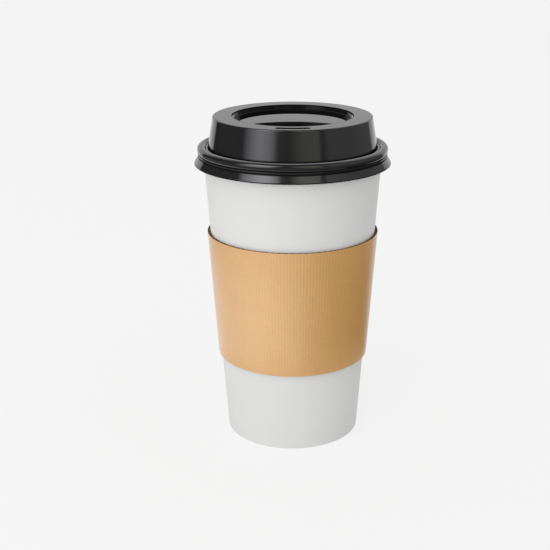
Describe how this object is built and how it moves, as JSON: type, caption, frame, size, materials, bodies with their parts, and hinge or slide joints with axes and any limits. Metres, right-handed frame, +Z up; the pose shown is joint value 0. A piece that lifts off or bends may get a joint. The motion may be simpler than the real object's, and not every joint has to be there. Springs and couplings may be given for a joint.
{
  "type": "takeaway hot cup",
  "caption": "Tapered paper hot-drink cup with rolled rim, black press-fit sip lid and corrugated kraft sleeve; the lid lifts off and the sleeve slides down.",
  "frame": {"origin": "centre of the foot ring, on the table", "axes": "+Z up along the cup's axis, sip slot towards -Y, seams at +Y"},
  "size_m": [0.095, 0.095, 0.16],
  "materials": {
    "cup_board": "matte white board",
    "lid_plastic": "glossy black, thermoformed",
    "kraft": "brown kraft, fine vertical ribs"
  },
  "bodies": {
    "cup": {"cup_wall": "cup_board", "cup_base": "cup_board"},
    "lid": {"lid": "lid_plastic"},
    "sleeve": {"sleeve": "kraft"}
  },
  "joints": [
    {"name": "lid_lift", "type": "slide", "parent": "cup", "child": "lid", "axis": [0, 0, 1], "range_m": [0, 0.06]},
    {"name": "sleeve_slide", "type": "slide", "parent": "cup", "child": "sleeve", "axis": [0, 0, -1], "range_m": [0, 0.04]}
  ]
}
